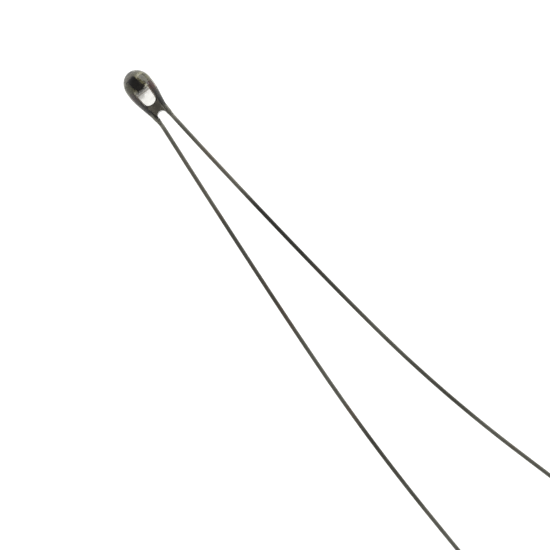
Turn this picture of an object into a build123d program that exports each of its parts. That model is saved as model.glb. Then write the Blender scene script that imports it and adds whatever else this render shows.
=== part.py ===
"""Glass-sealed bead thermistor with two bare leads: a sensing chip between two wires, in a glass drop.

The origin is the centre of the round stretch of the bead. +Y runs along the bead towards its domed
tip, +Z is up, and the two leads run towards -Y. The part lies on its bead and its two lead tips.
"""

from build123d import *

import os
from math import asin, atan2, cos, degrees, pi, radians, sin

# Bead: a domed tip and a short round stretch.
bead_dia = 1.86
round_length = 0.40
# The dome is a little longer than a half ball, and its nose a little sharper.
dome_extra = 0.14
nose_sharpening = 0.11

# Web: below its neck the bead is a flat bridge of glass between the leads, which bend in there a little.
# It ends in a round meniscus, whose top is web_end_drop below the round stretch.
web_tuck = 0.02
web_cover = 0.145
web_end_radius = 0.32
web_end_drop = 1.74
# Neck rings: distance below the round stretch, share of the way from the bead's radius to the web's half
# width, the same for its half depth, and sideways shift.
neck_rings = (
    (0.60, 0.26, 0.27, 0.00),
    (1.15, 0.61, 0.58, 0.005),
    (1.60, 0.88, 0.83, 0.01),
    (2.05, 1.00, 1.00, 0.03),
)

# Leads: solid round wire, straight in the bead and then bent by hand.
lead_dia = 0.27
lead_spacing = 1.00
lead_shift = -0.03
lead_top = 0.55
sealed_straight = 0.90
tail_straight = 10.0
# Each bend is its length along the wire and its turn in degrees, positive away from the other lead.
left_bends = ((1.3, -7.4), (1.4, 13.1), (12.0, -0.8), (6.0, -0.9), (12.0, -5.0), (22.0, -3.0))
right_bends = ((1.3, 1.5), (1.4, 2.9), (12.0, 1.5), (6.0, 1.2), (12.0, 7.3), (22.0, 4.0))

# Chip: a block of sintered oxide with a fired silver film on each side that faces a lead.
chip_width = 0.42
chip_length = 0.82
chip_depth = 0.50
chip_offset = -0.06
chip_middle = 0.30
chip_tilt = 10.0
film_thickness = 0.02
film_margin = 0.03

# Bond: silver paste that fills the space between a film and its lead.
bond_length = 0.56
bond_depth = 0.40
bond_corner = 0.08
# The block of paste starts this far inside the chip, so that it also meets the film of a tilted chip.
bond_reach = 0.09

# Void: gas left between the leads when the glass closes on them. It bulges a little over and under them.
lead_cover = 0.03
void_bulge = 0.065
void_depth = 0.66
void_top = 0.14
void_bottom = 1.33
void_end_length = 0.42
void_corner = 0.10
chip_cover = 0.04

bead_radius = bead_dia / 2
lead_radius = lead_dia / 2
void_half_width = lead_spacing / 2 - lead_radius + void_bulge
web_half_width = lead_spacing / 2 + lead_radius - web_tuck
web_half_depth = lead_radius + web_cover
half = round_length / 2
# The dome is a shoulder arc that leaves the round stretch squarely and runs into the nose arc.
nose_radius = bead_radius - nose_sharpening
nose_centre = bead_radius + dome_extra - nose_radius
shoulder_radius = (bead_radius**2 + nose_centre**2 - nose_radius**2) / (2 * (bead_radius - nose_radius))
shoulder_turn = degrees(atan2(nose_centre, shoulder_radius - bead_radius))

os.makedirs("parts", exist_ok=True)


def lead_route(side, bends):
    """The runs of one lead seen from above: start, direction, length and turn of each."""
    runs = ((sealed_straight, 0.0), *bends, (tail_straight, 0.0))
    x, y, heading = lead_shift + side * lead_spacing / 2, lead_top, 0.0
    route = []
    for length, turn in runs:
        route.append(((x, y), (side * sin(heading), -cos(heading)), length, turn))
        half_turn = radians(turn) / 2
        chord = length * (sin(half_turn) / half_turn if turn else 1.0)
        x += side * chord * sin(heading + half_turn)
        y -= chord * cos(heading + half_turn)
        heading += radians(turn)
    return route, (x, y), heading


def lead_plane(tip):
    """The plane of a lead: it dips so that the tip lies level with the bead's underside."""
    return Plane.XY.rotated((degrees(asin((bead_radius - lead_radius) / -tip[1])), 0, 0))


def make_lead(side, bends, radius=lead_radius):
    """One lead, or its cover of glass: a round section swept along straight runs and tangent arcs."""
    route, tip, _ = lead_route(side, bends)
    plane = lead_plane(tip)
    with BuildPart() as lead:
        with BuildLine(plane) as path:
            for start, direction, length, turn in route:
                if turn:
                    JernArc(start, direction, length / abs(radians(turn)), side * turn)
                else:
                    end = (start[0] + direction[0] * length, start[1] + direction[1] * length)
                    Line(start, end)
        with BuildSketch(Plane(path.line @ 0, z_dir=path.line % 0)):
            Circle(radius)
        sweep(path=path.line)
    return lead


left_lead = make_lead(-1, left_bends)
right_lead = make_lead(1, right_bends)
left_lead.part.label = "left_lead"
right_lead.part.label = "right_lead"

chip_plane = Plane(Location((chip_offset, chip_middle, 0), (0, 0, chip_tilt)))

with BuildPart() as thermistor_chip:
    with BuildSketch(chip_plane):
        Rectangle(chip_width, chip_length)
    extrude(amount=chip_depth / 2, both=True)
thermistor_chip.part.label = "thermistor_chip"


def make_film(side):
    """One electrode film, flat on the chip's side."""
    with BuildPart() as film:
        with BuildSketch(chip_plane):
            with Locations((side * (chip_width + film_thickness) / 2, 0)):
                Rectangle(film_thickness, chip_length - 2 * film_margin)
        extrude(amount=chip_depth / 2 - film_margin, both=True)
    return film


left_film = make_film(-1)
right_film = make_film(1)
left_film.part.label = "left_electrode_film"
right_film.part.label = "right_electrode_film"


def make_bond(side, film, lead):
    """One paste bond: a rounded block from the film to the lead's centre line, hollowed by both."""
    start = chip_offset + side * (chip_width / 2 - bond_reach)
    end = lead_shift + side * lead_spacing / 2
    with BuildPart() as bond:
        with BuildSketch():
            with Locations(((start + end) / 2, chip_middle)):
                Rectangle(abs(end - start), bond_length)
        extrude(amount=bond_depth / 2, both=True)
        fillet(bond.edges().filter_by(Axis.X), radius=bond_corner)
        add(film.part, mode=Mode.SUBTRACT)
        add(thermistor_chip.part, mode=Mode.SUBTRACT)
        add(lead.part, mode=Mode.SUBTRACT)
    return bond


left_bond = make_bond(-1, left_film, left_lead)
right_bond = make_bond(1, right_film, right_lead)
left_bond.part.label = "left_bond"
right_bond.part.label = "right_bond"

# The void is a rounded slot between the leads. They keep a thin cover of glass, and so does the chip's end.
cover_radius = lead_radius + lead_cover
covers = (make_lead(-1, left_bends, cover_radius), make_lead(1, right_bends, cover_radius))
void_end = void_bottom - void_end_length
with BuildPart() as gas_void:
    with BuildSketch():
        with Locations((lead_shift, -(void_top + void_end) / 2)):
            Rectangle(2 * void_half_width, void_end - void_top)
        with Locations((lead_shift, -void_end)):
            Ellipse(void_half_width, void_end_length)
    extrude(amount=void_depth / 2, both=True)
    fillet(gas_void.faces().filter_by(Axis.Z).edges(), radius=void_corner)
    with BuildSketch(chip_plane):
        Rectangle(chip_width + 2 * (film_thickness + chip_cover), chip_length + 2 * chip_cover)
    extrude(amount=void_depth, both=True, mode=Mode.SUBTRACT)
    for cover in covers:
        add(cover.part, mode=Mode.SUBTRACT)

with BuildPart() as glass_body:
    with BuildSketch():
        with BuildLine():
            Line((0, -half), (bead_radius, -half))
            Line((bead_radius, -half), (bead_radius, half))
            CenterArc((bead_radius - shoulder_radius, half), shoulder_radius, 0, shoulder_turn)
            nose = CenterArc((0, half + nose_centre), nose_radius, shoulder_turn, 90 - shoulder_turn)
            Line(nose @ 1, (0, -half))
        make_face()
    revolve(axis=Axis.Y)
    with BuildSketch(Plane((0, -half, 0), x_dir=(1, 0, 0), z_dir=(0, -1, 0))):
        Circle(bead_radius)
    for distance, width_share, depth_share, shift in neck_rings:
        with BuildSketch(Plane((shift, -half - distance, 0), x_dir=(1, 0, 0), z_dir=(0, -1, 0))):
            half_width = bead_radius + (web_half_width - bead_radius) * width_share
            half_depth = bead_radius + (web_half_depth - bead_radius) * depth_share
            Ellipse(half_width, half_depth)
    loft()
    # The glass ends between the leads in a round meniscus.
    with BuildSketch():
        with Locations((neck_rings[-1][3], -half - web_end_drop - web_end_radius)):
            Circle(web_end_radius)
    extrude(amount=bead_radius, both=True, mode=Mode.SUBTRACT)
    # The glass is moulded round everything that it seals.
    for sealed in (left_lead, right_lead, thermistor_chip, left_film, right_film, left_bond, right_bond):
        add(sealed.part, mode=Mode.SUBTRACT)
    add(gas_void.part, mode=Mode.SUBTRACT)
glass_body.part.label = "glass_body"

pieces = (
    glass_body,
    thermistor_chip,
    left_film,
    right_film,
    left_bond,
    right_bond,
    left_lead,
    right_lead,
)
for piece in pieces:
    export_step(piece.part, f"parts/{piece.part.label}.step")

for lead, side, bends in ((left_lead, -1, left_bends), (right_lead, 1, right_bends)):
    route, tip, heading = lead_route(side, bends)
    length = sum(run[2] for run in route)
    share = lead.part.volume / (pi * lead_radius**2 * length)
    print(lead.part.label, "length", round(length, 2), "volume share", round(share, 4))
    print("  tip", tip, "heading", round(degrees(heading), 2))
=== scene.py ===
"""Looks for a glass-sealed bead thermistor: two drawn wires, a chip with silver films and paste bonds, and
the glass bead that was melted over them. Everything is placed in metres in the CAD model's frame: the
bead's axis is +Y, its centre is the origin, and the leads run towards -Y."""

from math import asin, cos, pi, radians, sin

import bmesh
import bpy
import numpy as np
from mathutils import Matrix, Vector


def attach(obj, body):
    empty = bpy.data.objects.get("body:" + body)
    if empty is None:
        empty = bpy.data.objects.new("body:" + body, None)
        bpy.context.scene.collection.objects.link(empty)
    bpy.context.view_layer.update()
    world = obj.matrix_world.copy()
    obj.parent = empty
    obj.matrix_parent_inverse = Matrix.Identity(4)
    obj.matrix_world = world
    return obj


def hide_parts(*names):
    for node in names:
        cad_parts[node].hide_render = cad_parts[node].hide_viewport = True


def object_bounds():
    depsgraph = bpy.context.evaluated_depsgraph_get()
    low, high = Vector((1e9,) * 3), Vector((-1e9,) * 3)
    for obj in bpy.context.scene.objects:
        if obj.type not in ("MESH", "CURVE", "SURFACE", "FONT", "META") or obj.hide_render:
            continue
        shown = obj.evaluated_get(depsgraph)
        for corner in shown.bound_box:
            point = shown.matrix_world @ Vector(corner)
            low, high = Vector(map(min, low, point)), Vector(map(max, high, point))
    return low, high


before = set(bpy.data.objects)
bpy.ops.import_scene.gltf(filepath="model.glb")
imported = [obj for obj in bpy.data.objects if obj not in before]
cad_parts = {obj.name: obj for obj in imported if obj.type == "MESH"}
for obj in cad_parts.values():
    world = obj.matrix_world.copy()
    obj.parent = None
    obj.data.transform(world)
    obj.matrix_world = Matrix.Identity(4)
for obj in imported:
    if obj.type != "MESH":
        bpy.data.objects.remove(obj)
cad_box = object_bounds()
MM = 0.001


# ---- Camera, table and light ----
# The part lies on a pale, evenly glowing light table and is seen from straight above, turned so that the
# bead points up and to the left. The room is white all round and dim overhead, with one low, soft lamp.

view_width = 35.2 * MM
view_turn = radians(-38.1)
view_centre = (-0.61 * MM, -14.7 * MM)
camera_data = bpy.data.cameras.new("camera")
camera_data.lens = 100
camera_data.sensor_width = 36
camera_height = view_width * camera_data.lens / camera_data.sensor_width
camera_data.clip_start = 0.1 * camera_height
camera_data.clip_end = 100 * camera_height
camera = bpy.data.objects.new("camera", camera_data)
camera.location = (*view_centre, camera_height)
camera.rotation_euler = (0, 0, view_turn)

half_table = 1.0
table_height = cad_box[0][2]
corners = [(x * half_table, y * half_table, table_height) for x, y in ((-1, -1), (1, -1), (1, 1), (-1, 1))]
table_mesh = bpy.data.meshes.new("table")
table_mesh.from_pydata(corners, [], [(0, 1, 2, 3)])
table = bpy.data.objects.new("table", table_mesh)
paper = bpy.data.materials.new("light_table")
paper.use_nodes = True
paper_shader = paper.node_tree.nodes["Principled BSDF"]
paper_shader.inputs["Base Color"].default_value = (0.45, 0.45, 0.44, 1)
paper_shader.inputs["Roughness"].default_value = 0.9
paper_shader.inputs["Emission Color"].default_value = (1.0, 1.0, 0.985, 1)
paper_shader.inputs["Emission Strength"].default_value = 0.97
table_mesh.materials.append(paper)

lamp_direction = Vector((0.82, 0.48, 0.28))
lamp_distance = 0.2
softbox_data = bpy.data.lights.new("softbox", "AREA")
softbox_data.shape = "DISK"
softbox_data.size = 0.18
softbox_data.energy = 0.18
softbox = bpy.data.objects.new("softbox", softbox_data)
softbox.location = lamp_direction * lamp_distance
softbox.rotation_euler = softbox.location.to_track_quat("Z", "Y").to_euler()

scene = bpy.context.scene
for thing in (camera, table, softbox):
    scene.collection.objects.link(thing)
scene.camera = camera
scene.view_settings.view_transform = "Standard"

room = bpy.data.worlds.new("room")
room.use_nodes = True
light = room.node_tree
direction = light.nodes.new("ShaderNodeSeparateXYZ")
light.links.new(light.nodes.new("ShaderNodeTexCoord").outputs["Generated"], direction.inputs[0])
dimming = light.nodes.new("ShaderNodeMapRange")
dimming.interpolation_type = "SMOOTHSTEP"
light.links.new(direction.outputs["Z"], dimming.inputs["Value"])
for name, value in (("From Min", 0.10), ("From Max", 0.80), ("To Min", 1.05), ("To Max", 0.28)):
    dimming.inputs[name].default_value = value
light.nodes["Background"].inputs["Color"].default_value = (1.0, 1.0, 0.99, 1)
light.links.new(dimming.outputs[0], light.nodes["Background"].inputs["Strength"])
scene.world = room


# ---- The two leads ----
# Copper-clad nickel-iron wire, drawn to 0.27 mm, bent by hand and snipped off at the far end. In air the
# copper has tarnished to grey-brown. Where the glass sealed it, at the bead, it has stayed copper red.

wire_radius = 0.135
wire_spacing = 1.00
wire_shift = -0.03
wire_top = 0.55
sealed_straight = 0.90
tail_straight = 10.0
left_bends = ((1.3, -7.4), (1.4, 13.1), (12.0, -0.8), (6.0, -0.9), (12.0, -5.0), (22.0, -3.0))
right_bends = ((1.3, 1.5), (1.4, 2.9), (12.0, 1.5), (6.0, 1.2), (12.0, 7.3), (22.0, 4.0))
cladding = 0.015 * MM
pinch_length = 0.16 * MM
pinch_share = 0.45
die_line_squeeze = 0.04


def wire_line(side, bends, spacing=0.2):
    """Points along one lead in millimetres: straight runs and arcs, dipping to the table at the far end."""
    x, y, heading = wire_shift + side * wire_spacing / 2, wire_top, 0.0
    flat = [(x, y)]
    for length, turn in ((sealed_straight, 0.0), *bends, (tail_straight, 0.0)):
        steps = max(2, round(length / spacing))
        for _ in range(steps):
            middle = heading + radians(turn) / steps / 2
            x += side * length / steps * sin(middle)
            y -= length / steps * cos(middle)
            heading += radians(turn) / steps
            flat.append((x, y))
    dip = asin((cad_box[1][2] / MM - wire_radius) / -y)
    return np.array([(x, y * cos(dip), y * sin(dip)) for x, y in flat])


def named_input(tree, name, kind, value=None):
    """Adds one input socket to a node group."""
    socket = tree.interface.new_socket(name, in_out="INPUT", socket_type=kind)
    if value is not None:
        socket.default_value = value
    return socket


def place(tree, kind, **inputs):
    """Adds a node, and sets or links its inputs by name or number."""
    node = tree.nodes.new(kind)
    for key, value in inputs.items():
        fill(tree, node, key.replace("_", " "), value)
    return node


def fill(tree, node, key, value):
    """Sets one input of a node, or links it when the value is another node's output."""
    socket = node.inputs[key]
    if isinstance(value, bpy.types.NodeSocket):
        tree.links.new(value, socket)
    else:
        socket.default_value = value


def calculate(tree, operation, *values):
    """A Math node's result."""
    node = tree.nodes.new("ShaderNodeMath")
    node.operation = operation
    for key, value in enumerate(values):
        fill(tree, node, key, value)
    return node.outputs[0]


def calculate_vector_length(tree, vector, weights):
    """A vector's length, with each direction weighted."""
    weighted = tree.nodes.new("ShaderNodeVectorMath")
    weighted.operation = "LENGTH"
    fill(tree, weighted, 0, calculate_vector(tree, "MULTIPLY", vector, weights))
    return weighted.outputs["Value"]


def calculate_vector(tree, operation, *values, scale=None):
    """A Vector Math node's result."""
    node = tree.nodes.new("ShaderNodeVectorMath")
    node.operation = operation
    for key, value in enumerate(values):
        fill(tree, node, key, value)
    if scale is not None:
        fill(tree, node, "Scale", scale)
    return node.outputs[0]


def drawn_wire_tree():
    """Geometry Nodes that turn a line into a slightly uneven round wire.

    Each point of its skin stores how far it is along the wire, and where it is on the round section.
    """
    tree = bpy.data.node_groups.new("drawn_wire", "GeometryNodeTree")
    named_input(tree, "Line", "NodeSocketGeometry")
    named_input(tree, "Radius", "NodeSocketFloat", wire_radius * MM)
    named_input(tree, "Ring Spacing", "NodeSocketFloat", 0.12 * MM)
    named_input(tree, "Sides", "NodeSocketInt", 24)
    named_input(tree, "Unevenness", "NodeSocketFloat", 0.012 * MM)
    named_input(tree, "Unevenness Length", "NodeSocketFloat", 3.5 * MM)
    named_input(tree, "Seed", "NodeSocketFloat", 0.0)
    named_input(tree, "Finish", "NodeSocketMaterial")
    tree.interface.new_socket("Wire", in_out="OUTPUT", socket_type="NodeSocketGeometry")
    given = tree.nodes.new("NodeGroupInput").outputs

    rings = tree.nodes.new("GeometryNodeResampleCurve")
    rings.mode = "LENGTH"
    fill(tree, rings, "Curve", given["Line"])
    fill(tree, rings, "Length", given["Ring Spacing"])

    where = tree.nodes.new("GeometryNodeInputPosition").outputs[0]
    per_length = calculate(tree, "DIVIDE", 1.0, given["Unevenness Length"])
    scaled = calculate_vector(tree, "SCALE", where, scale=per_length)
    noise = tree.nodes.new("ShaderNodeTexNoise")
    noise.noise_dimensions = "4D"
    fill(tree, noise, "Vector", scaled)
    fill(tree, noise, "W", given["Seed"])
    fill(tree, noise, "Scale", 1.0)
    centred = calculate_vector(tree, "SUBTRACT", noise.outputs["Color"], (0.5, 0.5, 0.5))
    moved = place(tree, "GeometryNodeSetPosition", Geometry=rings.outputs[0])
    fill(tree, moved, "Offset", calculate_vector(tree, "SCALE", centred, scale=given["Unevenness"]))

    along = tree.nodes.new("GeometryNodeStoreNamedAttribute")
    along.data_type = "FLOAT"
    along.domain = "POINT"
    fill(tree, along, "Geometry", moved.outputs[0])
    fill(tree, along, "Name", "along")
    fill(tree, along, "Value", tree.nodes.new("GeometryNodeSplineParameter").outputs["Length"])

    circle = tree.nodes.new("GeometryNodeCurvePrimitiveCircle")
    fill(tree, circle, "Resolution", given["Sides"])
    fill(tree, circle, "Radius", given["Radius"])
    around = tree.nodes.new("GeometryNodeStoreNamedAttribute")
    around.data_type = "FLOAT_VECTOR"
    around.domain = "POINT"
    fill(tree, around, "Geometry", circle.outputs[0])
    fill(tree, around, "Name", "around")
    fill(tree, around, "Value", tree.nodes.new("GeometryNodeInputPosition").outputs[0])

    tube = tree.nodes.new("GeometryNodeCurveToMesh")
    fill(tree, tube, "Curve", along.outputs[0])
    fill(tree, tube, "Profile Curve", around.outputs[0])
    fill(tree, tube, "Fill Caps", True)
    real = tree.nodes.new("GeometryNodeRealizeInstances")
    fill(tree, real, "Geometry", tube.outputs[0])
    finish = tree.nodes.new("GeometryNodeSetMaterial")
    fill(tree, finish, "Geometry", real.outputs[0])
    fill(tree, finish, "Material", given["Finish"])
    fill(tree, tree.nodes.new("NodeGroupOutput"), "Wire", finish.outputs[0])
    return tree


def mottle_group():
    """A mask of soft, uneven patches, which every finish shares."""
    tree = bpy.data.node_groups.new("mottle", "ShaderNodeTree")
    named_input(tree, "Place", "NodeSocketVector")
    named_input(tree, "Patches per Metre", "NodeSocketFloat", 500.0)
    named_input(tree, "Seed", "NodeSocketFloat", 0.0)
    named_input(tree, "Detail", "NodeSocketFloat", 3.0)
    named_input(tree, "Low", "NodeSocketFloat", 0.35)
    named_input(tree, "High", "NodeSocketFloat", 0.65)
    tree.interface.new_socket("Mask", in_out="OUTPUT", socket_type="NodeSocketFloat")
    given = tree.nodes.new("NodeGroupInput").outputs
    noise = tree.nodes.new("ShaderNodeTexNoise")
    noise.noise_dimensions = "4D"
    sources = {"Vector": "Place", "Scale": "Patches per Metre", "W": "Seed", "Detail": "Detail"}
    for name, source in sources.items():
        fill(tree, noise, name, given[source])
    ramp = tree.nodes.new("ShaderNodeMapRange")
    ramp.interpolation_type = "SMOOTHSTEP"
    fill(tree, ramp, "Value", noise.outputs[0])
    fill(tree, ramp, "From Min", given["Low"])
    fill(tree, ramp, "From Max", given["High"])
    fill(tree, tree.nodes.new("NodeGroupOutput"), "Mask", ramp.outputs[0])
    return tree


mottle = mottle_group()


def patches(tree, where, per_metre, seed=0.0, low=0.35, high=0.65, detail=3.0):
    """The shared mottle, placed in a material with its own values."""
    node = tree.nodes.new("ShaderNodeGroup")
    node.node_tree = mottle
    values = {
        "Place": where,
        "Patches per Metre": per_metre,
        "Seed": seed,
        "Low": low,
        "High": high,
        "Detail": detail,
    }
    for name, value in values.items():
        fill(tree, node, name, value)
    return node.outputs["Mask"]


def mix_colour(tree, mask, first, second):
    """The first colour where the mask is 0 and the second where it is 1."""
    node = tree.nodes.new("ShaderNodeMix")
    node.data_type = "RGBA"
    node.clamp_factor = True
    for socket, value in ((node.inputs[0], mask), (node.inputs[6], first), (node.inputs[7], second)):
        if isinstance(value, bpy.types.NodeSocket):
            tree.links.new(value, socket)
        else:
            socket.default_value = value if isinstance(value, float) else (*value, 1)
    return node.outputs[2]


def span(tree, place_on_axis, start, end, low=0.0, high=1.0):
    """A smooth step from low to high between two places in millimetres."""
    node = tree.nodes.new("ShaderNodeMapRange")
    node.interpolation_type = "SMOOTHSTEP"
    values = {"From Min": start * MM, "From Max": end * MM, "To Min": low, "To Max": high}
    for name, value in {"Value": place_on_axis, **values}.items():
        fill(tree, node, name, value)
    return node.outputs[0]


def band(tree, place_on_axis, start, full, fading, end):
    """A mask in millimetres: 0 up to the start, 1 from full to fading, and 0 again from the end."""
    rise = span(tree, place_on_axis, start, full)
    return calculate(tree, "MULTIPLY", rise, span(tree, place_on_axis, end, fading))


def bump(tree, shader, height, distance, strength=1.0):
    """Fine relief on a material's surface."""
    node = place(tree, "ShaderNodeBump", Height=height, Distance=distance, Strength=strength)
    fill(tree, shader, "Normal", node.outputs[0])


def faded(tree, mask, amount):
    """A mask at part of its strength."""
    return calculate(tree, "MULTIPLY", mask, amount)


def roughen(tree, shader, mask, base, extra):
    """Roughness that changes from its base by a mask's extra."""
    fill(tree, shader, "Roughness", calculate(tree, "MULTIPLY_ADD", mask, extra, base))


def start_material(name, **plain):
    """A new material: its node tree, its shader and its Object coordinates."""
    material = bpy.data.materials.new(name)
    material.use_nodes = True
    tree = material.node_tree
    shader = tree.nodes["Principled BSDF"]
    for key, value in plain.items():
        shader.inputs[key.replace("_", " ")].default_value = value
    return material, tree, shader, tree.nodes.new("ShaderNodeTexCoord").outputs["Object"]


def wire_finish():
    """Tarnished copper cladding with die lines, copper red where the glass has kept the air out."""
    material, tree, shader, where = start_material("tarnished_wire", Metallic=0.35, Specular_IOR_Level=0.3)
    axes = place(tree, "ShaderNodeSeparateXYZ", Vector=where).outputs
    along = tree.nodes.new("ShaderNodeAttribute")
    along.attribute_name = "along"
    around = tree.nodes.new("ShaderNodeAttribute")
    around.attribute_name = "around"
    squeezed = calculate(tree, "MULTIPLY", along.outputs["Fac"], die_line_squeeze)
    lengthwise = place(tree, "ShaderNodeCombineXYZ", Z=squeezed).outputs[0]
    skin = calculate_vector(tree, "ADD", around.outputs["Vector"], lengthwise)

    broad = patches(tree, where, 130.0, seed=4.0, low=0.38, high=0.62, detail=2.0)
    fine = patches(tree, where, 1500.0, seed=9.0, low=0.3, high=0.7)
    stains = patches(tree, where, 420.0, seed=15.0, low=0.50, high=0.66, detail=1.0)
    lines = patches(tree, skin, 16000.0, seed=2.0, low=0.3, high=0.7, detail=2.0)
    grey = mix_colour(tree, broad, (0.066, 0.066, 0.055), (0.175, 0.175, 0.150))
    brown = mix_colour(tree, faded(tree, fine, 0.5), grey, (0.090, 0.083, 0.061))
    stains_and_foot_shadow = mix_colour(tree, faded(tree, stains, 0.6), brown, (0.155, 0.112, 0.084))
    worn = mix_colour(tree, faded(tree, lines, 0.3), stains_and_foot_shadow, (0.24, 0.235, 0.20))

    # Below the glass the wires are coloured lighter at first, paler farther down, and near black farther
    # still, most of all on the right lead.
    lighter_stretch = band(tree, axes["Y"], -1.60, -1.90, -2.3, -3.4)
    pale = band(tree, axes["Y"], -3.8, -5.5, -8.0, -10.5)
    darker_stretch = band(tree, axes["Y"], -9.0, -11.0, -14.0, -20.0)
    darker_stretch = calculate(tree, "MULTIPLY", darker_stretch, span(tree, axes["X"], -0.5, 0.5, 0.35, 0.85))
    worn = mix_colour(tree, faded(tree, lighter_stretch, 0.85), worn, (0.36, 0.35, 0.30))
    worn = mix_colour(tree, faded(tree, pale, 0.55), worn, (0.22, 0.205, 0.17))
    worn = mix_colour(tree, darker_stretch, worn, (0.030, 0.029, 0.026))
    sealed = span(tree, axes["Y"], -0.75, -0.35)
    redness = calculate(tree, "MULTIPLY", sealed, span(tree, axes["X"], -0.3, 0.3, 0.45, 1.0))
    red = mix_colour(tree, fine, (0.36, 0.105, 0.080), (0.24, 0.080, 0.068))
    fill(tree, shader, "Base Color", mix_colour(tree, redness, worn, red))
    roughen(tree, shader, fine, 0.48, 0.18)
    bump(tree, shader, lines, 0.002 * MM, 0.6)
    return material


def cut_finish(name, colour):
    """Bright metal where the cutters went through."""
    material, tree, shader, where = start_material(name, Metallic=1.0)
    marks = patches(tree, where, 30000.0, seed=1.0, low=0.25, high=0.75)
    shaded = tuple(0.7 * channel for channel in colour)
    fill(tree, shader, "Base Color", mix_colour(tree, marks, shaded, colour))
    roughen(tree, shader, marks, 0.25, 0.2)
    bump(tree, shader, marks, 0.004 * MM, 0.5)
    return material


def drawn_mesh(name, points, seed, tree, finish):
    """The mesh that the tree makes of a line through the given points."""
    line_data = bpy.data.curves.new(name + "_line", "CURVE")
    line_data.dimensions = "3D"
    spline = line_data.splines.new("POLY")
    spline.points.add(len(points) - 1)
    spline.points.foreach_set("co", np.column_stack((points, np.ones(len(points)))).ravel())
    line = bpy.data.objects.new(name + "_line", line_data)
    scene.collection.objects.link(line)
    maker = line.modifiers.new("drawn_wire", "NODES")
    maker.node_group = tree
    keys = {item.name: item.identifier for item in tree.interface.items_tree if item.in_out == "INPUT"}
    maker[keys["Seed"]] = seed
    maker[keys["Finish"]] = finish
    evaluated = line.evaluated_get(bpy.context.evaluated_depsgraph_get())
    mesh = bpy.data.meshes.new_from_object(evaluated)
    line.modifiers.remove(maker)
    bpy.data.objects.remove(line)
    mesh.name = name
    return mesh


def bare_ends(work):
    """Cuts a rim into each end of a wire, which shows the cladding round the core."""
    caps = [face for face in work.faces if len(face.verts) > 4]
    for face in work.faces:
        face.smooth = len(face.verts) == 4
    for cap in caps:
        bmesh.ops.inset_individual(work, faces=[cap], thickness=cladding, use_even_offset=True)
        for edge in cap.edges:
            for ring in edge.link_faces:
                ring.material_index = 1
                ring.smooth = False
        cap.material_index = 2


def pinch_tip(work, tip, before):
    """Squeezes the last stretch of a wire into the blunt wedge that side cutters leave."""
    outward = (tip - before) / np.linalg.norm(tip - before)
    for vertex in work.verts:
        back = -float((np.array(vertex.co) - tip) @ outward)
        if back < pinch_length:
            middle = tip[2] - back * outward[2]
            keep = 1 - (1 - pinch_share) * (1 - max(back, 0.0) / pinch_length)
            vertex.co.z = middle + (vertex.co.z - middle) * keep


def make_wire(name, side, bends, seed, tree, finishes):
    """One lead: drawn along its line, then snipped at its far end."""
    points = wire_line(side, bends) * MM
    mesh = drawn_mesh(name, points, seed, tree, finishes[0])
    for finish in finishes[1:]:
        mesh.materials.append(finish)
    work = bmesh.new()
    work.from_mesh(mesh)
    bare_ends(work)
    pinch_tip(work, points[-1], points[-2])
    bmesh.ops.recalc_face_normals(work, faces=work.faces)
    work.to_mesh(mesh)
    work.free()
    wire = bpy.data.objects.new(name, mesh)
    scene.collection.objects.link(wire)
    return wire


wire_tree = drawn_wire_tree()
wire_finishes = (
    wire_finish(),
    cut_finish("cut_copper_cladding", (0.80, 0.36, 0.22)),
    cut_finish("cut_nickel_iron_core", (0.62, 0.60, 0.55)),
)
for name, side, bends, seed in (("left_lead", -1, left_bends, 3.0), ("right_lead", 1, right_bends, 8.0)):
    wire = make_wire(name + "_wire", side, bends, seed, wire_tree, wire_finishes)
    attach(wire, "root")
    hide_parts(name)


# ---- The chip ----
# A block of sintered metal oxide, diced from a wafer. It is near black and matt, with rounded and
# slightly chipped edges where the saw broke out grains.


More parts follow.
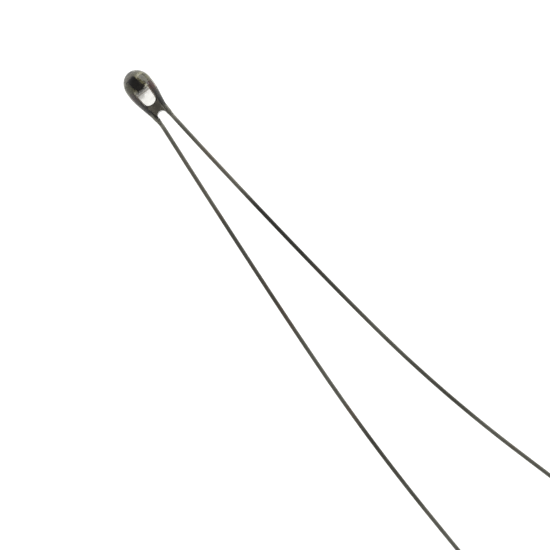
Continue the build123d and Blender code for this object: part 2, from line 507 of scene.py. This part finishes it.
def skin_mesh(name, field, low, high, step):
    """The closed surface on which a field of millimetre distances is zero, as a mesh in metres."""
    axes = [np.arange(start - 2 * step, end + 2.5 * step, step) for start, end in zip(low, high)]
    value = field(np.stack(np.meshgrid(*axes, indexing="ij"), -1))
    inside = value < 0
    cells = tuple(n - 1 for n in value.shape)
    corners = [np.array((i, j, k)) for i in (0, 1) for j in (0, 1) for k in (0, 1)]

    def at(array, corner):
        return array[tuple(slice(c, c + n) for c, n in zip(corner, cells))]

    count = sum(at(inside, corner).astype(int) for corner in corners)
    crossed = (count > 0) & (count < 8)
    number = np.full(cells, -1)
    number[crossed] = np.arange(crossed.sum())
    total = np.zeros((crossed.sum(), 3))
    hits = np.zeros(crossed.sum())
    for corner in corners:
        for axis in range(3):
            if corner[axis] == 0:
                unit = np.eye(3, dtype=int)[axis]
                near, far = at(value, corner)[crossed], at(value, corner + unit)[crossed]
                cut = (near < 0) != (far < 0)
                share = near[cut] / (near[cut] - far[cut])
                total[cut] += corner + share[:, None] * unit
                hits[cut] += 1
    start = np.array([line[0] for line in axes])
    points = start + (np.argwhere(crossed) + total / hits[:, None]) * step
    faces = []
    for axis in range(3):
        u, v = (axis + 1) % 3, (axis + 2) % 3
        first = [slice(1, -1)] * 3
        second = list(first)
        first[axis], second[axis] = slice(0, -1), slice(1, None)
        here, there = inside[tuple(first)], inside[tuple(second)]
        for outward in (True, False):
            border = (here & ~there) if outward else (there & ~here)
            spots = np.argwhere(border) + [i != axis for i in range(3)]
            unit_u, unit_v = np.eye(3, dtype=int)[u], np.eye(3, dtype=int)[v]
            loop = [spots - unit_u - unit_v, spots - unit_v, spots, spots - unit_u]
            ring = [number[tuple(spot.T)] for spot in (loop if outward else loop[::-1])]
            faces.append(np.stack(ring, 1))
    # Each point then slides along the field's slope until it lies on the surface itself.
    reach, probe = 0.3 * step, 0.1 * step
    for _ in range(4):
        rises = [field(points + way) - field(points - way) for way in np.eye(3) * probe]
        slope = np.stack(rises, -1) / (2 * probe)
        slide = field(points) / np.maximum((slope**2).sum(-1), 1e-9)
        points -= np.clip(slide[:, None] * slope, -reach, reach)
    mesh = bpy.data.meshes.new(name)
    mesh.from_pydata((points * MM).tolist(), [], np.concatenate(faces).tolist())
    mesh.polygons.foreach_set("use_smooth", [True] * len(mesh.polygons))
    mesh.update()
    return mesh


def soft_union(a, b, width):
    """The nearer of two distances, blended over the given width."""
    share = np.clip(0.5 + 0.5 * (b - a) / width, 0, 1)
    return b * (1 - share) + a * share - width * share * (1 - share)


def soft_cut(a, b, width):
    """The farther of two distances, blended over the given width."""
    return -soft_union(-a, -b, width)


def block(points, half_size, rounding):
    """Distance to a block round the origin with rounded edges."""
    out = np.abs(points) - (np.array(half_size) - rounding)
    outside = np.linalg.norm(np.maximum(out, 0), axis=-1)
    return outside + np.minimum(out.max(-1), 0) - rounding


def ripple(points, wavelength, seed):
    """Gentle unevenness from -1 to 1: a few waves that cross at odd angles."""
    turn = np.random.default_rng(seed)
    total = np.zeros(points.shape[:-1])
    waves = 5
    for _ in range(waves):
        way = turn.normal(size=3)
        way /= np.linalg.norm(way)
        pace = 2 * pi / wavelength * turn.uniform(0.6, 1.5)
        total += np.sin(points @ way * pace + turn.uniform(0, 2 * pi))
    return total / waves


chip_half = (0.21, 0.41, 0.25)
chip_centre = np.array((-0.06, 0.30, 0.0))
chip_tilt = radians(10.0)
chip_rounding = 0.06
chip_grid = 0.02


def on_chip(points):
    """Points in the chip's own directions, from its centre."""
    x, y, z = np.moveaxis(points - chip_centre, -1, 0)
    return np.stack((x * cos(chip_tilt) + y * sin(chip_tilt), y * cos(chip_tilt) - x * sin(chip_tilt), z), -1)


def chip_block(points):
    """Distance to the chip as an even block."""
    return block(on_chip(points), chip_half, chip_rounding)


def chip_field(points):
    """Distance to the chip with its worn, grainy faces."""
    grain = 0.004 * ripple(points, 0.09, 5) + 0.003 * ripple(points, 0.04, 6)
    return chip_block(points) + 0.010 * ripple(points, 0.30, 7) + grain


def oxide_finish():
    """Sintered oxide: near black and matt, with a fine grain."""
    material, tree, shader, where = start_material("sintered_oxide", Roughness=0.55)
    grain = patches(tree, where, 40000.0, seed=3.0, low=0.3, high=0.7)
    fill(tree, shader, "Base Color", mix_colour(tree, grain, (0.022, 0.019, 0.019), (0.070, 0.058, 0.054)))
    bump(tree, shader, grain, 0.004 * MM, 0.7)
    return material


def add_piece(name, mesh, material, node):
    """Puts a finished piece in the scene in place of its CAD node."""
    mesh.materials.append(material)
    piece = bpy.data.objects.new(name, mesh)
    scene.collection.objects.link(piece)
    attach(piece, "root")
    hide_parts(node)
    return piece


chip_reach = np.array((0.34, 0.50, 0.27))
chip_low, chip_high = chip_centre - chip_reach, chip_centre + chip_reach
chip_mesh = skin_mesh("diced_chip", chip_field, chip_low, chip_high, chip_grid)
add_piece("diced_chip", chip_mesh, oxide_finish(), "thermistor_chip")


# ---- The electrode films ----
# Silver paint, printed on the two sides of the chip that face the leads and fired on. It is a thin, pale,
# matt film with a slightly ragged edge.

film_half = (0.012, 0.38, 0.22)
film_sink = 0.002
film_rounding = 0.008
film_grid = 0.01


def film_field(side):
    """Distance to the film on one side of the chip, sunk a little into it."""
    centre = np.array((side * (chip_half[0] + film_half[0] - film_sink), 0.0, 0.0))

    def field(points):
        return block(on_chip(points) - centre, film_half, film_rounding) + 0.004 * ripple(points, 0.12, 11)

    return field


def silver_finish():
    """Fired silver: pale and matt, with darker spots where the glass has reached it."""
    material, tree, shader, where = start_material("fired_silver", Metallic=0.9)
    spots = patches(tree, where, 9000.0, seed=6.0)
    fill(tree, shader, "Base Color", mix_colour(tree, spots, (0.62, 0.60, 0.52), (0.38, 0.37, 0.30)))
    roughen(tree, shader, spots, 0.35, 0.25)
    bump(tree, shader, spots, 0.003 * MM, 0.5)
    return material


silver = silver_finish()
for name, side in (("left", -1), ("right", 1)):
    film_mesh = skin_mesh(f"{name}_film", film_field(side), chip_low, chip_high, film_grid)
    add_piece(f"{name}_film", film_mesh, silver, f"{name}_electrode_film")


# ---- The bonds ----
# Silver paste, dabbed between each film and its lead before the glass went on. It has set as a lumpy
# fillet that wets the film and wraps half of the wire.

bond_length = 0.56
bond_depth = 0.40
bond_rounding = 0.17
bond_overlap = 0.05
paste_coat = 0.02
paste_grid = 0.02
bond_middle = np.array((0.36, 0.285, 0.0))
bond_reach = np.array((0.34, 0.375, 0.28))


def wire_distance(points, line):
    """Distance to the middle of a lead, close to the bead, where the lead runs nearly along Y."""
    middle = np.interp(-points[..., 1], -line[:, 1], line[:, 0])
    height = np.interp(-points[..., 1], -line[:, 1], line[:, 2])
    return np.hypot(points[..., 0] - middle, points[..., 2] - height)


wire_lines = {-1: wire_line(-1, left_bends), 1: wire_line(1, right_bends)}


def bond_field(side):
    """Distance to the paste on one side: a lump between film and wire, and a coat round the wire."""
    start = chip_centre[0] + side * (chip_half[0] - bond_overlap)
    wire_middle = wire_shift + side * wire_spacing / 2
    centre = np.array(((start + wire_middle) / 2, chip_centre[1], 0.0))
    half_size = (abs(wire_middle - start) / 2, bond_length / 2, bond_depth / 2)

    def field(points):
        lump = block(points - centre, half_size, bond_rounding)
        beyond = np.abs(points[..., 1] - centre[1]) - bond_length / 2
        coat = soft_cut(wire_distance(points, wire_lines[side]) - wire_radius - paste_coat, beyond, 0.12)
        return soft_union(lump, coat, 0.10) + 0.022 * ripple(points, 0.30, 20 + side)

    return field


def paste_finish():
    """Cured silver paste: dull grey-green with bright flakes."""
    material, tree, shader, where = start_material("silver_paste", Metallic=0.5)
    lumps = patches(tree, where, 5000.0, seed=12.0)
    flakes = patches(tree, where, 30000.0, seed=13.0, low=0.5, high=0.62)
    dull = mix_colour(tree, lumps, (0.40, 0.39, 0.27), (0.60, 0.58, 0.42))
    fill(tree, shader, "Base Color", mix_colour(tree, faded(tree, flakes, 0.5), dull, (0.70, 0.68, 0.56)))
    roughen(tree, shader, flakes, 0.62, -0.2)
    bump(tree, shader, lumps, 0.01 * MM, 0.6)
    return material


paste = paste_finish()
for name, side in (("left", -1), ("right", 1)):
    middle = bond_middle * (side, 1, 1)
    low, high = middle - bond_reach, middle + bond_reach
    paste_mesh = skin_mesh(f"{name}_paste", bond_field(side), low, high, paste_grid)
    add_piece(f"{name}_paste", paste_mesh, paste, f"{name}_bond")


# ---- The glass bead ----
# A short sleeve of sealing glass, melted over the chip and both wires until it drew up into a drop. Gas
# stayed trapped between the wires below the chip. The glass ends on the wires in thin, creeping edges.

bead_radius = 0.93
round_half = 0.20
dome_length = 1.07
web_half_width = 0.615
web_half_depth = 0.28
neck_distance = np.array((0.0, 0.30, 0.60, 1.15, 1.60, 2.05, 2.60))
neck_width = bead_radius + (web_half_width - bead_radius) * np.array((0.0, 0.10, 0.26, 0.61, 0.88, 1.0, 1.03))
neck_depth = bead_radius + (web_half_depth - bead_radius) * np.array((0.0, 0.08, 0.27, 0.58, 0.83, 1.0, 1.1))
neck_shift = np.array((0.0, 0.0, 0.0, 0.005, 0.01, 0.03, 0.05))
meniscus_centre = (0.03, -2.26)
meniscus_radius = 0.32
glass_end = -2.30
creep_length = 0.40
creep_thickness = 0.035
wire_overlap = 0.004
coat_top = -0.60


def smooth_steps(x, stations, values):
    """A smooth curve through the given values, cubic between stations."""
    slopes = np.gradient(values, stations)
    slopes[0] = 0.0
    i = np.clip(np.searchsorted(stations, x, side="right") - 1, 0, len(stations) - 2)
    width = stations[i + 1] - stations[i]
    t = np.clip((x - stations[i]) / width, 0, 1)
    rise = 3 * t**2 - 2 * t**3
    start = (t**3 - 2 * t**2 + t) * width * slopes[i]
    end = (t**3 - t**2) * width * slopes[i + 1]
    return values[i] * (1 - rise) + values[i + 1] * rise + start + end


def drop_field(points):
    """Distance to the whole drop: dome, round stretch and the neck that flattens towards the wires."""
    x, y, z = np.moveaxis(points, -1, 0)
    down = np.maximum(-round_half - y, 0)
    up = np.maximum(y - round_half, 0)
    width = smooth_steps(down, neck_distance, neck_width)
    depth = smooth_steps(down, neck_distance, neck_depth)
    shift = smooth_steps(down, neck_distance, neck_shift)
    size = np.sqrt(((x - shift) / width) ** 2 + (z / depth) ** 2 + (up / dome_length) ** 2)
    return (size - 1) * np.minimum(width, depth)


void_half_width = 0.43
void_top = -0.14
void_end = -0.91
void_end_length = 0.42
void_half_depth = 0.33
void_squareness = 2.4
wire_coat = 0.03
chip_coat = 0.04


def void_field(points):
    """Distance to the gas: a slot with a round lower end. Glass coats the wires and the chip beside it."""
    x, y, z = np.moveaxis(points, -1, 0)
    beside = np.abs((x - wire_shift) / void_half_width)
    below = np.maximum(void_end - y, 0) / void_end_length
    size = (beside**void_squareness + below**void_squareness) ** (1 / void_squareness)
    slot = (size - 1) * void_half_width
    slot = soft_cut(slot, y - void_top, 0.10)
    slot = soft_cut(slot, np.abs(z) - void_half_depth, 0.08)
    for line in wire_lines.values():
        slot = soft_cut(slot, wire_radius + wire_coat - wire_distance(points, line), 0.03)
    slot = soft_cut(slot, chip_coat - chip_block(points), 0.04)
    return slot + 0.006 * ripple(points, 0.5, 31)


def glass_field(points):
    """Distance to the glass: the drop, ended by the meniscus, and a thin coat that creeps down each wire."""
    x, y, _ = np.moveaxis(points, -1, 0)
    meniscus = meniscus_radius - np.hypot(x - meniscus_centre[0], np.maximum(y - meniscus_centre[1], 0))
    drop = soft_cut(drop_field(points), meniscus, 0.06)
    drop = soft_cut(drop, glass_end - y, 0.10)
    creep = np.clip((y - glass_end + creep_length) / creep_length, 0, 1)
    for line in wire_lines.values():
        coat = wire_distance(points, line) - wire_radius - creep_thickness * creep**1.5 + wire_overlap
        coat = soft_cut(coat, glass_end - creep_length - y, 0.02)
        coat = soft_cut(coat, y - coat_top, 0.05)
        drop = soft_union(drop, coat, 0.05)
    drop += 0.006 * ripple(points, 0.9, 41)
    return soft_cut(drop, -void_field(points), 0.02)


# The window over the void is clear. Its outline is a slot with a round lower end. The flame came from one
# side, so the window leans: it sits lower on top of the bead than underneath. Each edge fades over a pair
# of values. The glass is tinted darker round the chip, and at the chip's foot it is painted dark where the
# chip's end and its shadow show.
window_lean = 0.16
window_top = (-0.18, -0.01)
window_end = -0.775
window_half_width = (0.44, 0.50)
foot_centre = (0.01 * MM, 0.05 * MM, 0.0)
foot_shape = (0.75, 1.0, 0.0)
halo_centre = (-0.18 * MM, 0.46 * MM, 0.0)
halo_shape = (1.6, 0.80, 0.0)


def cap_colour(tree, axes, cloud):
    """The glass over the chip: grey-green, painted paler on the lamp's side, with a painted highlight beside
    the chip and painted shade at the tip.
    """
    plain = mix_colour(tree, cloud, (0.145, 0.145, 0.095), (0.225, 0.22, 0.150))
    # Painted light: the cap is painted paler on the side the lamp lights.
    cap = mix_colour(tree, span(tree, axes["X"], -0.05, 0.28), plain, (0.29, 0.285, 0.175))
    # Painted highlight: a pale glint to the right of the chip is painted into the glass.
    painted_glint = band(tree, axes["X"], 0.08, 0.20, 0.32, 0.46)
    painted_glint = calculate(tree, "MULTIPLY", painted_glint, span(tree, axes["Y"], 0.75, 0.55))
    cap = mix_colour(tree, painted_glint, cap, (0.80, 0.76, 0.53))
    # Painted shade: the tip is painted dark, standing in for the dark rim of the dome's steep edge.
    return mix_colour(tree, span(tree, axes["Y"], 0.60, 0.95), cap, (0.088, 0.090, 0.067))


def neck_colour(tree, axes, cloud, across):
    """The glass round and between the wires: brown beside the void, a dark web, and clear at its ends."""
    web = mix_colour(tree, cloud, (0.042, 0.039, 0.030), (0.080, 0.074, 0.058))
    limb = mix_colour(tree, cloud, (0.17, 0.140, 0.108), (0.25, 0.208, 0.162))
    aside = calculate(tree, "ABSOLUTE", across)
    thin = mix_colour(tree, span(tree, aside, 0.36, 0.46), web, (0.80, 0.80, 0.74))
    below = mix_colour(tree, span(tree, axes["Y"], -2.05, -2.35), thin, (0.93, 0.93, 0.88))
    neck = mix_colour(tree, span(tree, axes["Y"], -0.90, -1.30), limb, web)
    return mix_colour(tree, span(tree, axes["Y"], -1.50, -1.85), neck, below)


def glass_finish():
    """Sealing glass: tinted over the chip and round the wires, and clear over the void."""
    material, tree, shader, where = start_material("sealing_glass", Roughness=0.04, IOR=1.50)
    shader.inputs["Transmission Weight"].default_value = 1.0
    axes = place(tree, "ShaderNodeSeparateXYZ", Vector=where).outputs
    cloud = patches(tree, where, 2600.0, seed=21.0)
    across = calculate(tree, "SUBTRACT", axes["X"], wire_shift * MM)
    lean = calculate(tree, "MULTIPLY_ADD", axes["Z"], window_lean, axes["Y"])
    down = calculate(tree, "MAXIMUM", calculate(tree, "SUBTRACT", window_end * MM, lean), 0.0)
    offset = place(tree, "ShaderNodeCombineXYZ", X=across, Y=down).outputs[0]
    edge = span(tree, calculate_vector_length(tree, offset, (1, 1, 1)), *window_half_width)
    lower = mix_colour(tree, edge, (1.0, 0.998, 0.985), neck_colour(tree, axes, cloud, across))
    upper = mix_colour(tree, span(tree, lean, *window_top), lower, cap_colour(tree, axes, cloud))
    # Painted shadow: the glass is painted dark at the chip's foot, where the chip's end and its shadow show.
    leaning = place(tree, "ShaderNodeCombineXYZ", X=axes["X"], Y=lean).outputs[0]
    from_foot = calculate_vector(tree, "SUBTRACT", leaning, foot_centre)
    foot = span(tree, calculate_vector_length(tree, from_foot, foot_shape), 0.10, 0.30)
    stains_and_foot_shadow = mix_colour(tree, foot, (0.16, 0.145, 0.13), upper)
    from_chip = calculate_vector(tree, "SUBTRACT", where, halo_centre)
    halo = span(tree, calculate_vector_length(tree, from_chip, halo_shape), 0.26, 0.76)
    fill(tree, shader, "Base Color", mix_colour(tree, halo, (0.105, 0.094, 0.078), stains_and_foot_shadow))
    bump(tree, shader, cloud, 0.01 * MM, 0.15)
    return material


glass_low, glass_high = (-1.00, -2.66, -0.98), (1.00, 1.32, 0.98)
glass_grid = 0.03
glass_mesh = skin_mesh("melted_glass", glass_field, glass_low, glass_high, glass_grid)
add_piece("melted_glass", glass_mesh, glass_finish(), "glass_body")
